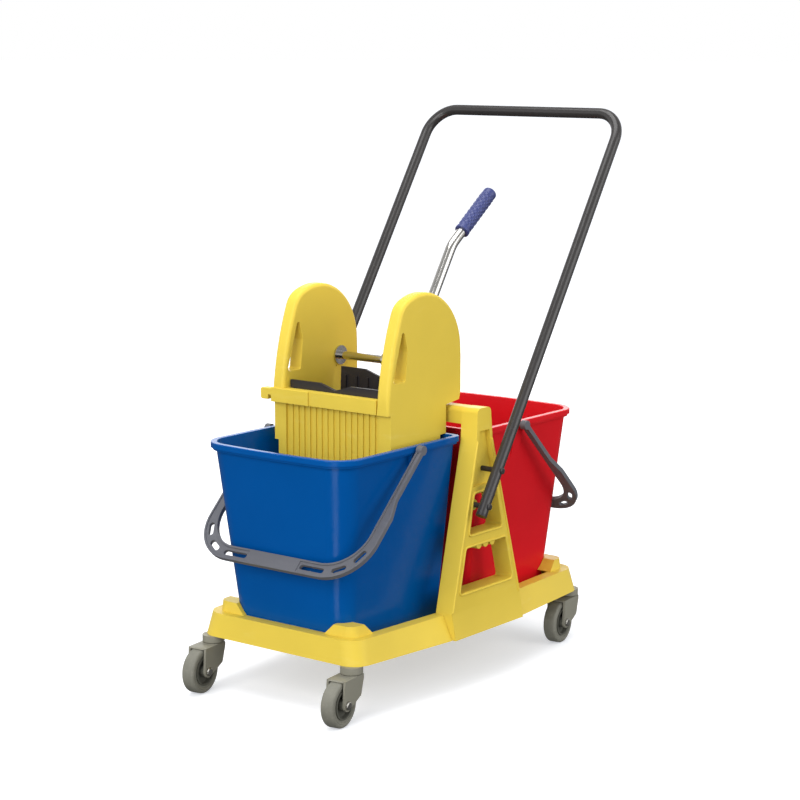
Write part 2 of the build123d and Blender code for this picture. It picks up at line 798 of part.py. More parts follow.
with BuildPart() as side_frame_left:
    extrude(frame_outline(0), amount=frame_depth)
    with BuildSketch(Plane.YZ.offset(-frame_foot_half_width)) as foot_wedge:
        with BuildLine():
            Polyline(
                (frame_front_y(tray_bottom) - foot_proud, tray_bottom),
                (frame_front_y(frame_shoulder_z), frame_shoulder_z),
                (frame_front_y(frame_shoulder_z) + frame_skin, frame_shoulder_z),
                (frame_front_y(tray_bottom) + frame_skin, tray_bottom),
                close=True,
            )
        make_face()
    extrude(foot_wedge.sketch, amount=2 * frame_foot_half_width)
    extrude(frame_outline(frame_flange), amount=frame_depth - frame_skin, mode=Mode.SUBTRACT)
    panel_block(panel_inset - frame_flange, panel_drop + frame_skin, Mode.ADD)
    panel_block(panel_inset, panel_drop, Mode.SUBTRACT)
    low_bolt_z = handle_bolt_z[0]
    low_boss_front = frame_front_y(low_bolt_z)
    boss_back = low_boss_front + frame_skin / cos(lean)
    bar_along_y(bolt_boss_radius, low_boss_front, boss_back, handle_bolt_x(low_bolt_z), low_bolt_z)
    with BuildSketch(Plane.XZ) as beam_end:
        with Locations((0, beam_bottom_z + beam_height / 2)):
            Rectangle(2 * beam_half_width, beam_height)
        fillet(beam_end.vertices().group_by(Axis.Y)[-1], frame_top_radius)
    extrude(amount=-frame_front_y(frame_top_z) - frame_skin)
    block(
        (-beam_half_width + beam_wall, beam_half_width - beam_wall),
        (-ear_outer_y - frame_flange, 0),
        (beam_bottom_z, frame_top_z - beam_wall),
        mode=Mode.SUBTRACT,
    )
    for x in (-foot_screw_pitch, 0, foot_screw_pitch):
        bar_along_y(3 * frame_screw_radius, -frame_inner_y - frame_depth, -frame_inner_y, x, foot_screw_z)
        bar_along_y(frame_screw_radius, -frame_inner_y - frame_depth / 2, 0, x, foot_screw_z, Mode.SUBTRACT)
    for z in handle_bolt_z:
        bar_along_y(bolt_radius, -handle_half_width, 0, handle_bolt_x(z), z, Mode.SUBTRACT)
        nut_room = bolt_nut_radius + face_gap
        room_ends = (-nut_seat_y(z), -frame_inner_y + frame_depth)
        bar_along_y(nut_room, *room_ends, handle_bolt_x(z), z, Mode.SUBTRACT)
    for y in (-splice_screw_pitch / 2, -splice_screw_pitch):
        with Locations((beam_half_width, y, beam_bottom_z + beam_height / 2)):
            Cylinder(frame_screw_radius + screw_gap, 3 * beam_wall, rotation=(0, 90, 0), mode=Mode.SUBTRACT)
keep(side_frame_left, "side_frame_left")

with BuildPart() as side_frame_right:
    mirror(side_frame_left.part, about=Plane.XZ)
keep(side_frame_right, "side_frame_right")

with BuildPart() as beam_splice:
    block(
        (-beam_half_width + beam_wall + running_gap, beam_half_width - beam_wall - running_gap),
        (-splice_half_length, splice_half_length),
        (beam_bottom_z + face_gap, frame_top_z - beam_wall - running_gap),
    )
    with Locations((beam_half_width, 0, beam_bottom_z + beam_height / 2)):
        for y in (-splice_screw_pitch, -splice_screw_pitch / 2, splice_screw_pitch / 2, splice_screw_pitch):
            with Locations((0, y, 0)):
                Cylinder(frame_screw_radius, 2 * beam_half_width, rotation=(0, 90, 0), mode=Mode.SUBTRACT)
keep(beam_splice, "beam_splice")

with BuildPart() as splice_screws:
    for y in (-splice_screw_pitch, -splice_screw_pitch / 2, splice_screw_pitch / 2, splice_screw_pitch):
        with Locations((beam_half_width / 2, y, beam_bottom_z + beam_height / 2)):
            Cylinder(frame_screw_radius, beam_half_width, rotation=(0, 90, 0))
        with Locations((beam_half_width + screw_head_height / 2, y, beam_bottom_z + beam_height / 2)):
            Cylinder(screw_head_radius, screw_head_height, rotation=(0, 90, 0))
keep(splice_screws, "splice_screws")

with BuildPart() as foot_screws:
    recess_half_width = tray_mid_half_width - tray_side_slope_mid - tray_ledge
    for side in (-1, 1):
        for x in (-foot_screw_pitch, 0, foot_screw_pitch):
            head_ends = sorted((side * (recess_half_width - screw_head_height), side * recess_half_width))
            bar_along_y(screw_head_radius, *head_ends, x, foot_screw_z)
            shank_ends = sorted((side * recess_half_width, side * (frame_inner_y + frame_depth / 2)))
            bar_along_y(frame_screw_radius, *shank_ends, x, foot_screw_z)
keep(foot_screws, "foot_screws")


# Push handle: one bent tube with plugged feet, bolted to the side frames over spacers

leg_direction = (handle_rise, 0, 1)

with BuildPart() as push_handle:
    with BuildLine() as handle_path:
        FilletPolyline(
            (handle_low_x, -handle_half_width, handle_low_z),
            (handle_top_x, -handle_half_width, handle_top_z),
            (handle_top_x, handle_half_width, handle_top_z),
            (handle_low_x, handle_half_width, handle_low_z),
            radius=handle_bend_radius,
        )
    with BuildSketch(Plane(origin=handle_path.line @ 0, z_dir=handle_path.line % 0)):
        Circle(tube_radius)
        Circle(tube_radius - tube_wall, mode=Mode.SUBTRACT)
    sweep()
    for z in handle_bolt_z:
        bolt_reach = handle_half_width + 2 * tube_radius
        bar_along_y(bolt_radius, -bolt_reach, bolt_reach, handle_bolt_x(z), z, Mode.SUBTRACT)
keep(push_handle, "push_handle")

with BuildPart() as handle_plugs:
    for side in (-1, 1):
        foot = Plane(origin=(handle_low_x, side * handle_half_width, handle_low_z), z_dir=leg_direction)
        with BuildSketch(foot) as cap:
            Circle(tube_radius)
        extrude(cap.sketch, amount=-frame_flange)
        with BuildSketch(foot) as plug:
            Circle(tube_radius - tube_wall)
        extrude(plug.sketch, amount=plug_length / 2)
keep(handle_plugs, "handle_plugs")


with BuildPart() as handle_spacers:
    for side in (-1, 1):
        for z in handle_bolt_z:
            ends = sorted((side * spacer_foot_y(z), side * handle_half_width))
            bar_along_y(spacer_radius, *ends, handle_bolt_x(z), z)
    for side in (-1, 1):
        low_end = (handle_low_x, side * handle_half_width, handle_low_z)
        with BuildSketch(Plane(origin=low_end, z_dir=leg_direction)) as saddle:
            Circle(tube_radius)
        extrude(saddle.sketch, amount=handle_top_z, both=True, mode=Mode.SUBTRACT)
    for z in handle_bolt_z:
        bar_along_y(bolt_radius, -handle_half_width, handle_half_width, handle_bolt_x(z), z, Mode.SUBTRACT)
keep(handle_spacers, "handle_spacers")

with BuildPart() as handle_bolts:
    for side in (-1, 1):
        for z in handle_bolt_z:
            head_seat = handle_half_width + tube_radius
            shank_end = nut_seat_y(z) - bolt_nut_height - face_gap
            shank_ends = sorted((side * shank_end, side * head_seat))
            bar_along_y(bolt_radius, *shank_ends, handle_bolt_x(z), z)
            head_ends = sorted((side * head_seat, side * (head_seat + bolt_head_height)))
            bar_along_y(bolt_head_radius, *head_ends, handle_bolt_x(z), z)
    fillet(handle_bolts.edges().group_by(Axis.Y)[0], bolt_head_height / 2)
    fillet(handle_bolts.edges().group_by(Axis.Y)[-1], bolt_head_height / 2)
keep(handle_bolts, "handle_bolts")

with BuildPart() as handle_nuts:
    for z in handle_bolt_z:
        with BuildSketch(Plane.XZ.offset(nut_seat_y(z) - bolt_nut_height)) as nut:
            with Locations((handle_bolt_x(z), z)):
                RegularPolygon(bolt_nut_radius, 6)
                Circle(bolt_radius, mode=Mode.SUBTRACT)
        extrude(nut.sketch, amount=bolt_nut_height)
    mirror(about=Plane.XZ)
keep(handle_nuts, "handle_nuts")


# Wringer body: two tall hollow ears joined by a fluted front wall and a back wall with a ledge

def ear_outline(inset, y, floor_z):
    """Side view of one ear and the body below it, down to a floor, moved in by an inset."""
    with BuildSketch(Plane.XZ.offset(y)) as outline:
        with BuildLine():
            lean_angle = radians(ear_front_lean)
            arc = TangentArc(ear_low_front, ear_crown[0], tangent=(sin(lean_angle), cos(lean_angle)))
            for point in (*ear_crown[1:], ear_low_back):
                arc = TangentArc(arc @ 1, point, tangent=arc % 1)
            Polyline(
                ear_low_back,
                (ear_low_back[0], ear_rear_knee_z),
                ear_rear_foot,
                (-wringer_back, ear_notch_z),
                (-wringer_back, wringer_seat_z),
                (-wringer_seat_back, wringer_seat_z),
                (-wringer_seat_back, floor_z - inset),
                (-wringer_front, floor_z - inset),
                (-wringer_front, band_z[0]),
                (-band_front, band_z[0]),
                ear_low_front,
            )
        make_face()
        if inset > 0:
            offset(amount=-inset, mode=Mode.REPLACE)
            with Locations((axle_x, axle_z)):
                Circle(axle_radius + 3 * axle_bush_wall, mode=Mode.SUBTRACT)
            with BuildSketch(mode=Mode.PRIVATE) as slot_wall:
                Polygon(*ear_slot, align=None)
                offset(amount=2 * inset)
            add(slot_wall.sketch, mode=Mode.SUBTRACT)
    return outline.sketch


with BuildPart() as wringer_side:
    extrude(ear_outline(0, ear_inner_y, wringer_bottom_z), amount=ear_thickness)
    fillet(wringer_side.edges().filter_by(GeomType.CIRCLE), ear_edge_radius)
    block(
        (-2 * wringer_front, 0),
        (-2 * ear_outer_y, -wringer_low_half_width),
        (0, wringer_step_z),
        mode=Mode.SUBTRACT,
    )
    low_edges = wringer_side.edges().filter_by(Axis.Z).filter_by_position(Axis.Z, 0, wringer_step_z)
    fillet(low_edges.group_by(Axis.Y)[0].sort_by(Axis.X)[-1], wringer_low_radius)
    cavity_y = ear_inner_y + ear_wall
    low_cavity = wringer_low_half_width - 2 * ear_wall - cavity_y
    extrude(ear_outline(ear_wall, cavity_y, wringer_bottom_z), amount=low_cavity, mode=Mode.SUBTRACT)
    extrude(
        ear_outline(ear_wall, cavity_y, wringer_step_z + 2 * ear_wall),
        amount=ear_thickness - 2 * ear_wall,
        mode=Mode.SUBTRACT,
    )
    with BuildSketch(Plane.XZ.offset(ear_inner_y - ear_wall)) as slot:
        Polygon(*ear_slot, align=None)
        fillet(slot.vertices(), ear_slot_radius)
    extrude(slot.sketch, amount=ear_thickness + 2 * ear_wall, mode=Mode.SUBTRACT)
    bush_radius = axle_radius + running_gap + axle_bush_wall
    bar_along_y(bush_radius, -ear_inner_y - axle_bush_length, 0, axle_x, axle_z, Mode.SUBTRACT)
    bar_along_y(plate_rod_radius, -cavity_y, 0, plate_hinge_x, plate_hinge_z, Mode.SUBTRACT)

    hook_end = -ear_inner_y - spring_hook_depth
    bar_along_y(spring_wire_radius, hook_end, 0, spring_hook_x, spring_hook_z, Mode.SUBTRACT)

keep(wringer_side, "wringer_ear_left")

with BuildPart() as wringer_ear_right:
    mirror(wringer_side.part, about=Plane.XZ)
keep(wringer_ear_right, "wringer_ear_right")

inner_span = (-ear_inner_y, ear_inner_y)

with BuildPart() as wringer_front_wall:
    block((front_wall_x, front_inner_x), inner_span, (wringer_bottom_z, band_z[1]))
    block((-band_front, front_inner_x), inner_span, band_z)
    for i in range(rib_count):
        rib_y = (i - (rib_count - 1) / 2) * rib_pitch
        rib_span = (rib_y - rib_width / 2, rib_y + rib_width / 2)
        block((front_wall_x - rib_proud, front_wall_x), rib_span, (wringer_bottom_z, band_z[0]))
    for i in plate_screw_ribs:
        with Locations((front_inner_x, i * rib_pitch, plate_screw_z)):
            Cylinder(frame_screw_radius, 2 * plate_screw_grip, rotation=(0, 90, 0), mode=Mode.SUBTRACT)
keep(wringer_front_wall, "wringer_front_wall")

with BuildPart() as wringer_back_wall:
    ledge_z = (wringer_seat_z, wringer_seat_z + ledge_height)
    block((back_inner_x, -wringer_seat_back), inner_span, (wringer_bottom_z, ledge_z[1]))
    block((back_inner_x, -beam_half_width - ledge_front_gap), inner_span, ledge_z)
keep(wringer_back_wall, "wringer_back_wall")

with BuildPart() as wringer_legs:
    leg_foot_z = bucket_base_z + bucket_floor + lift_gap
    for x in (front_wall_x, back_inner_x - leg_setback - leg_width):
        for side in (-1, 1):
            leg_span = sorted((side * leg_half_spread, side * (leg_half_spread + leg_width)))
            block((x, x + leg_width), leg_span, (leg_foot_z, wringer_bottom_z))
keep(wringer_legs, "wringer_legs")

with BuildPart() as wringer_clip:
    clip_end = ear_outer_y + clip_reach
    clip_x = -band_front - band_plate_proud
    with BuildSketch(Plane.YZ.offset(clip_x)) as clip:
        with Locations(((ear_outer_y + clip_end) / 2, sum(clip_z) / 2)):
            Rectangle(clip_end - ear_outer_y, clip_z[1] - clip_z[0])
        fillet(clip.vertices().group_by(Axis.X)[-1], clip_notch_height / 2)
        with Locations((ear_outer_y + clip_notch_width / 2, clip_z[0])):
            Rectangle(clip_notch_width, 2 * clip_notch_height, mode=Mode.SUBTRACT)
    extrude(clip.sketch, amount=clip_depth)
    block((clip_x, -band_front), (band_plate_start, ear_outer_y), band_z)
keep(wringer_clip, "wringer_clip")

with BuildPart() as drain_grate:
    grate_x = (front_inner_x + running_gap, back_inner_x - running_gap)
    grate_y = ear_inner_y - running_gap
    block(grate_x, (-grate_y, grate_y), (wringer_bottom_z, grate_top_z))
    with BuildSketch(Plane.XY.offset(grate_top_z)) as drain_holes:
        with Locations((sum(grate_x) / 2, 0)):
            with GridLocations(drain_pitch, drain_pitch, *drain_hole_counts):
                Circle(drain_hole_radius)
    extrude(drain_holes.sketch, amount=-drain_thickness, mode=Mode.SUBTRACT)
keep(drain_grate, "drain_grate")

with BuildPart() as axle_bushes:
    for side in (-1, 1):
        ends = sorted((side * ear_inner_y, side * (ear_inner_y + axle_bush_length)))
        bar_along_y(bush_radius, *ends, axle_x, axle_z)
        bar_along_y(axle_radius + running_gap, *ends, axle_x, axle_z, Mode.SUBTRACT)
keep(axle_bushes, "axle_bushes")


# Press plates: a fixed one leaning from the front wall and one hinged at the back

front_lean = tan(radians(front_plate_lean))
front_plate_depth = plate_thickness / cos(radians(front_plate_lean))


def front_plate_x(z, proud):
    """X of the fixed plate's back at a height, moved out by an amount."""
    return front_inner_x + front_lean * (front_plate_top_z - z) + proud


def plate_notch(top, normal_depth, plane):
    """V-notch in the top edge of a plate, cut through its thickness."""
    with BuildSketch(plane) as notch:
        Polygon(
            (-plate_notch_half_width, top),
            (plate_notch_half_width, top),
            (0, top - plate_notch_depth),
            align=None,
        )
    extrude(notch.sketch, amount=normal_depth, both=True, mode=Mode.SUBTRACT)


with BuildPart() as front_press_plate:
    flange_x = front_inner_x + plate_flange
    with BuildSketch(Plane.XZ.offset(-front_plate_half_width)) as profile:
        Polygon(
            (front_inner_x, front_plate_top_z),
            (front_inner_x, plate_flange_z),
            (flange_x, plate_flange_z),
            (flange_x, front_plate_top_z - plate_flange / front_lean),
            (front_plate_x(grate_top_z, 0), grate_top_z),
            (front_plate_x(grate_top_z, front_plate_depth), grate_top_z),
            (front_plate_x(front_plate_top_z, front_plate_depth), front_plate_top_z),
            align=None,
        )
    extrude(profile.sketch, amount=2 * front_plate_half_width)
    rib_low_z = grate_top_z + plate_rib_margin
    rib_high_z = front_plate_top_z - plate_rib_margin
    for i in range(plate_rib_count):
        rib_y = (i - (plate_rib_count - 1) / 2) * plate_rib_pitch
        with BuildSketch(Plane.XZ.offset(rib_y - plate_rib_width / 2)) as rib:
            Polygon(
                (front_plate_x(rib_low_z, 0), rib_low_z),
                (front_plate_x(rib_low_z, front_plate_depth + plate_rib_proud), rib_low_z),
                (front_plate_x(rib_high_z, front_plate_depth + plate_rib_proud), rib_high_z),
                (front_plate_x(rib_high_z, 0), rib_high_z),
                align=None,
            )
        extrude(rib.sketch, amount=plate_rib_width)
    plate_notch(front_plate_top_z, wringer_front, Plane.YZ.offset(front_inner_x))
    for i in plate_screw_ribs:
        with Locations((front_inner_x, i * rib_pitch, plate_screw_z)):
            hole_radius = frame_screw_radius + screw_gap
            Cylinder(hole_radius, 3 * plate_flange, rotation=(0, 90, 0), mode=Mode.SUBTRACT)
        with Locations((flange_x + wringer_front / 2, i * rib_pitch, plate_screw_z)):
            Cylinder(plate_driver_radius, wringer_front, rotation=(0, 90, 0), mode=Mode.SUBTRACT)
keep(front_press_plate, "front_press_plate")

with BuildPart() as plate_screws:
    for i in plate_screw_ribs:
        with Locations((flange_x + screw_head_height / 2, i * rib_pitch, plate_screw_z)):
            Cylinder(screw_head_radius, screw_head_height, rotation=(0, 90, 0))
        shank_length = plate_flange + plate_screw_grip
        with Locations((flange_x - shank_length / 2, i * rib_pitch, plate_screw_z)):
            Cylinder(frame_screw_radius, shank_length, rotation=(0, 90, 0))
keep(plate_screws, "plate_screws")

with BuildPart() as plate_hinge_rod:
    bar_along_y(plate_rod_radius, -cavity_y, cavity_y, plate_hinge_x, plate_hinge_z)
keep(plate_hinge_rod, "plate_hinge_rod")

rear_lean = radians(rear_plate_lean)
rear_plane = Plane(
    origin=(plate_hinge_x, 0, plate_hinge_z),
    x_dir=(0, -1, 0),
    z_dir=(-cos(rear_lean), 0, sin(rear_lean)),
)

with BuildPart() as rear_press_plate:
    plate_low = plate_rod_radius + face_gap
    plate_high = (rear_plate_top_z - plate_hinge_z) / cos(rear_lean)
    with BuildSketch(rear_plane) as face:
        with Locations((0, (plate_low + plate_high) / 2)):
            Rectangle(2 * rear_plate_half_width, plate_high - plate_low)
    extrude(face.sketch, amount=plate_thickness / 2, both=True)
    with BuildSketch(rear_plane) as ribs:
        rib_low = plate_knuckle_radius + plate_rib_margin
        with Locations((0, (rib_low + plate_high - plate_rib_margin) / 2)):
            with GridLocations(plate_rib_pitch, 0, rear_plate_rib_count, 1):
                Rectangle(plate_rib_width, plate_high - plate_rib_margin - rib_low)
    extrude(ribs.sketch, amount=plate_thickness / 2 + plate_rib_proud)
    plate_notch(plate_high, plate_thickness + plate_rib_proud, rear_plane)
    for y in (-plate_knuckle_spread, 0, plate_knuckle_spread):
        ends = (y - plate_knuckle_length / 2, y + plate_knuckle_length / 2)
        bar_along_y(plate_knuckle_radius, *ends, plate_hinge_x, plate_hinge_z)
    bore_ends = (-rear_plate_half_width, rear_plate_half_width)
    bar_along_y(plate_rod_radius + running_gap, *bore_ends, plate_hinge_x, plate_hinge_z, Mode.SUBTRACT)
keep(rear_press_plate, "rear_press_plate")


# Lever: a bent tube in a collar on the axle, whose two arms carry the press bar

bar_z = axle_z - press_arm_length


def axle_arm(y, width):
    """Collar of a width on the axle with an arm down to the press bar, at a station along the axle."""
    ends = (y - width / 2, y + width / 2)
    bar_along_y(collar_radius, *ends, axle_x, axle_z)
    half = press_arm_thickness / 2
    block((axle_x - half, axle_x + half), (y - half, y + half), (bar_z, axle_z))


def clear_axle_and_bar():
    """Bores for the axle and the press bar."""
    bar_along_y(axle_radius, -ear_inner_y, ear_inner_y, axle_x, axle_z, Mode.SUBTRACT)
    bar_along_y(press_bar_radius, -ear_inner_y, ear_inner_y, axle_x, bar_z, Mode.SUBTRACT)


with BuildPart() as lever_axle:
    axle_end = ear_inner_y + axle_bush_length - face_gap
    bar_along_y(axle_radius, -axle_end, axle_end, axle_x, axle_z)
keep(lever_axle, "lever_axle")

with BuildPart() as axle_washers:
    for side in (-1, 1):
        washer_outer = ear_inner_y - lift_gap
        ends = sorted((side * (washer_outer - axle_washer_height), side * washer_outer))
        bar_along_y(axle_washer_radius, *ends, axle_x, axle_z)
        bar_along_y(axle_radius, *ends, axle_x, axle_z, Mode.SUBTRACT)
keep(axle_washers, "axle_washers")

lever_low = Vector(cos(radians(lever_angle)), 0, sin(radians(lever_angle)))
lever_high = Vector(cos(radians(lever_upper_angle)), 0, sin(radians(lever_upper_angle)))
lever_foot = Vector(axle_x, lever_y, axle_z) + lever_low * collar_radius
lever_knee = Vector(axle_x, lever_y, axle_z) + lever_low * lever_lower
lever_tip = lever_knee + lever_high * lever_upper

with BuildPart() as lever_collar:
    axle_arm(lever_y, collar_width)
    with BuildSketch(Plane(origin=(axle_x, lever_y, axle_z), z_dir=lever_low)) as socket:
        Circle(lever_radius + socket_wall)
    extrude(socket.sketch, amount=collar_radius + socket_length)
    with BuildSketch(Plane(origin=lever_foot, z_dir=lever_low)) as socket_bore:
        Circle(lever_radius)
    extrude(socket_bore.sketch, amount=lever_lower, mode=Mode.SUBTRACT)
    clear_axle_and_bar()
keep(lever_collar, "lever_collar")

with BuildPart() as press_arm:
    axle_arm(press_arm_y, press_collar_width)
    clear_axle_and_bar()
keep(press_arm, "press_arm")

with BuildPart() as press_bar:
    bar_along_y(press_bar_radius, -press_bar_half_length, press_bar_half_length, axle_x, bar_z)
keep(press_bar, "press_bar")

with BuildPart() as lever_tube:
    with BuildLine() as lever_path:
        FilletPolyline(lever_foot, lever_knee, lever_tip, radius=lever_bend_radius)
    with BuildSketch(Plane(origin=lever_foot, z_dir=lever_low)):
        Circle(lever_radius)
        Circle(lever_radius - lever_wall, mode=Mode.SUBTRACT)
    sweep()
keep(lever_tube, "lever_tube")

with BuildPart() as lever_grip:
    grip_foot = lever_tip - lever_high * grip_length
    grip_plane = Plane(origin=grip_foot, x_dir=lever_high, z_dir=(0, 1, 0))
    groove_count = int(grip_length / grip_groove_pitch) - 2
    with BuildSketch(grip_plane) as half_section:
        with BuildLine():
            points = [(0, lever_radius), (0, grip_radius)]
            for i in range(1, groove_count + 1):
                start = i * grip_groove_pitch
                end = start + grip_groove_pitch / 2
                floor = grip_radius - grip_groove_depth
                points += [(start, grip_radius), (start, floor), (end, floor), (end, grip_radius)]
            grip_end = grip_length + grip_cap
            points += [(grip_end, grip_radius), (grip_end, 0), (grip_length, 0), (grip_length, lever_radius)]
            Polyline(*points, close=True)
        make_face()
    revolve(axis=Axis(grip_foot, lever_high))
keep(lever_grip, "lever_grip")


# Return spring: a coil round the axle, hooked into the left ear

def coil_point(turn):
    """Place and direction on the coil after a number of turns from its inner end."""
    angle = pi + 2 * pi * turn
    rise = spring_pitch / (2 * pi)
    place = Vector(
        axle_x + spring_mean_radius * cos(angle),
        spring_start_y - spring_pitch * turn,
        axle_z + spring_mean_radius * sin(angle),
    )
    heading = Vector(-spring_mean_radius * sin(angle), -rise, spring_mean_radius * cos(angle))
    return place, heading.normalized()


def biarc(start, start_heading, end, end_heading):
    """Two arcs that join two places with the given headings, and the place where they meet."""
    chord = end - start
    both = start_heading + end_heading
    a = 2 * (start_heading.dot(end_heading) - 1)
    b = -2 * chord.dot(both)
    c = chord.dot(chord)
    reach_along = (-b - sqrt(b * b - 4 * a * c)) / (2 * a)
    first = start + start_heading * reach_along
    last = end - end_heading * reach_along
    return (first + last) * 0.5, (last - first).normalized()


spring_start_y = lever_y - collar_width / 2 - spring_end_room - spring_wire_radius

with BuildPart() as return_spring:
    with BuildLine() as spring_path:
        place, heading = coil_point(0)
        Line(place - heading * spring_leg, place)
        for quarter in range(4 * spring_turns):
            next_place, next_heading = coil_point((quarter + 1) / 4)
            middle, middle_heading = biarc(place, heading, next_place, next_heading)
            TangentArc(place, middle, tangent=heading)
            TangentArc(middle, next_place, tangent=middle_heading)
            place, heading = next_place, next_heading
        bend_start = place + heading * spring_leg
        Line(place, bend_start)
        bend_end = Vector(spring_hook_x, bend_start.Y - spring_bend_radius, spring_hook_z)
        middle, middle_heading = biarc(bend_start, heading, bend_end, Vector(0, -1, 0))
        TangentArc(bend_start, middle, tangent=heading)
        TangentArc(middle, bend_end, tangent=middle_heading)
        Line(bend_end, Vector(spring_hook_x, -ear_inner_y - spring_hook_depth, spring_hook_z))
    with BuildSketch(Plane(origin=spring_path.line @ 0, z_dir=spring_path.line % 0)):
        Circle(spring_wire_radius)
    sweep()
keep(return_spring, "return_spring")

coil_steps = 48
coil_points = [coil_point(i / coil_steps)[0] for i in range(coil_steps * spring_turns + 1)]
least = min(
    (coil_points[i] - coil_points[j]).length
    for i in range(len(coil_points))
    for j in range(i + coil_steps // 2, len(coil_points))
)
print("return_spring least gap to itself", round(least - 2 * spring_wire_radius, 2))
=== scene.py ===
import bpy
import bmesh
import json
from math import radians, sin, cos, tan, pi
from mathutils import Matrix, Vector


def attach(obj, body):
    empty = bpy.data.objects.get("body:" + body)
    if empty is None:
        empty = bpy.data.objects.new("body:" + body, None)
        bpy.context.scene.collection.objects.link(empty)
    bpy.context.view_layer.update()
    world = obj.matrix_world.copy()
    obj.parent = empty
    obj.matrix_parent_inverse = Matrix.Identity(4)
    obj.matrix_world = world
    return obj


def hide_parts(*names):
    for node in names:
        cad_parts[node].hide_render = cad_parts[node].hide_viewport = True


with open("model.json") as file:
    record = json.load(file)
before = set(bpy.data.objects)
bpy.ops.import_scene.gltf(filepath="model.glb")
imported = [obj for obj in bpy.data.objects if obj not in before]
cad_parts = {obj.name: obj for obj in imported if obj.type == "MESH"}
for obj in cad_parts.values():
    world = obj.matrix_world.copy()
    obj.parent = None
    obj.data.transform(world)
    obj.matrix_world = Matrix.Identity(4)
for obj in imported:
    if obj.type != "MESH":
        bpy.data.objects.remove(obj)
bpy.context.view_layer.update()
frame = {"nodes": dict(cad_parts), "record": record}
nodes = frame["nodes"]
bodies = frame["record"]["behaviour"]["bodies"]
node_body = {node: body for body, names in bodies.items() for node in names}
node_slot = {part["node"]: part["material_slot"] for part in frame["record"]["subparts"]}
scene = bpy.context.scene


# Materials

def srgb(r, g, b):
    """Linear colour of an 8-bit screen colour."""
    def line(v):
        v = v / 255
        return v / 12.92 if v <= 0.04045 else ((v + 0.055) / 1.055) ** 2.4
    return (line(r), line(g), line(b), 1.0)


def scaled(colour, factor):
    """Colour made lighter or darker, kept within white."""
    return tuple(min(1.0, c * factor) for c in colour[:3]) + (1.0,)


class Graph:
    """Small helper round one material's nodes."""

    def __init__(self, name):
        self.material = bpy.data.materials.new(name)
        self.material.use_nodes = True
        self.tree = self.material.node_tree
        self.tree.nodes.clear()
        self.out = self.tree.nodes.new("ShaderNodeOutputMaterial")
        self.shader = self.tree.nodes.new("ShaderNodeBsdfPrincipled")
        self.link(self.shader.outputs["BSDF"], self.out.inputs["Surface"])
        self.coords = self.tree.nodes.new("ShaderNodeTexCoord").outputs["Object"]

    def link(self, source, target):
        self.tree.links.new(source, target)

    def stretched(self, scale):
        """Object coordinates with a scale of their own along each axis."""
        node = self.tree.nodes.new("ShaderNodeMapping")
        node.inputs["Scale"].default_value = scale
        self.link(self.coords, node.inputs["Vector"])
        return node.outputs["Vector"]

    def distance(self):
        """Distance from the object's origin."""
        node = self.tree.nodes.new("ShaderNodeVectorMath")
        node.operation = "LENGTH"
        self.link(self.coords, node.inputs[0])
        return node.outputs["Value"]

    def noise(self, scale, detail=3.0, rough=0.55, coords=None):
        node = self.tree.nodes.new("ShaderNodeTexNoise")
        node.inputs["Scale"].default_value = scale
        node.inputs["Detail"].default_value = detail
        node.inputs["Roughness"].default_value = rough
        self.link(coords or self.coords, node.inputs["Vector"])
        return node.outputs["Fac"]

    def remap(self, value, low, high, to_low, to_high):
        node = self.tree.nodes.new("ShaderNodeMapRange")
        node.inputs["From Min"].default_value = low
        node.inputs["From Max"].default_value = high
        node.inputs["To Min"].default_value = to_low
        node.inputs["To Max"].default_value = to_high
        self.link(value, node.inputs["Value"])
        return node.outputs["Result"]

    def spread(self, noise, to_low=0.0, to_high=1.0):
        """Stretches the middle of a noise, where most of it lies, over a range."""
        return self.remap(noise, 0.3, 0.7, to_low, to_high)

    def mix(self, factor, a, b):
        node = self.tree.nodes.new("ShaderNodeMix")
        node.data_type = "RGBA"
        self.link(factor, node.inputs["Factor"])
        for value, socket in ((a, node.inputs[6]), (b, node.inputs[7])):
            if isinstance(value, tuple):
                socket.default_value = value
            else:
                self.link(value, socket)
        return node.outputs[2]

    def cloudy(self, colour, scale, detail, darker, lighter):
        """Tint that drifts between a darker and a lighter tone."""
        cloud = self.spread(self.noise(scale, detail))
        return self.mix(cloud, scaled(colour, darker), scaled(colour, lighter))

    def bump(self, height, strength, distance, normal=None):
        node = self.tree.nodes.new("ShaderNodeBump")
        node.inputs["Strength"].default_value = strength
        node.inputs["Distance"].default_value = distance
        self.link(height, node.inputs["Height"])
        if normal:
            self.link(normal, node.inputs["Normal"])
        return node.outputs["Normal"]

    def done(self, colour, rough, normal=None, metallic=0.0, specular=0.5):
        self.link(colour, self.shader.inputs["Base Color"])
        self.link(rough, self.shader.inputs["Roughness"])
        self.shader.inputs["Metallic"].default_value = metallic
        self.shader.inputs["Specular IOR Level"].default_value = specular
        if normal:
            self.link(normal, self.shader.inputs["Normal"])
        return self.material


def plastic(name, colour, scuff, rough, grain, drift, scuff_amount, specular):
    """Moulded plastic: cloudy tint, fine grain, and faint scuffs of a paler tone."""
    g = Graph(name)
    tint = g.cloudy(colour, 5.0, 4.0, 1 - drift, 1 + drift)
    streaks = g.noise(9.0, 6.0, 0.7, g.stretched((1.0, 1.0, 5.0)))
    tint = g.mix(g.remap(streaks, 0.60, 0.74, 0.0, scuff_amount), tint, scuff)
    polish = g.spread(g.noise(40.0, 3.0), rough - 0.05, rough + 0.07)
    normal = g.bump(g.noise(1400.0, 2.0), grain, 0.0004)
    normal = g.bump(g.noise(14.0, 2.0), 0.04, 0.004, normal)
    return g.done(tint, polish, normal, specular=specular)


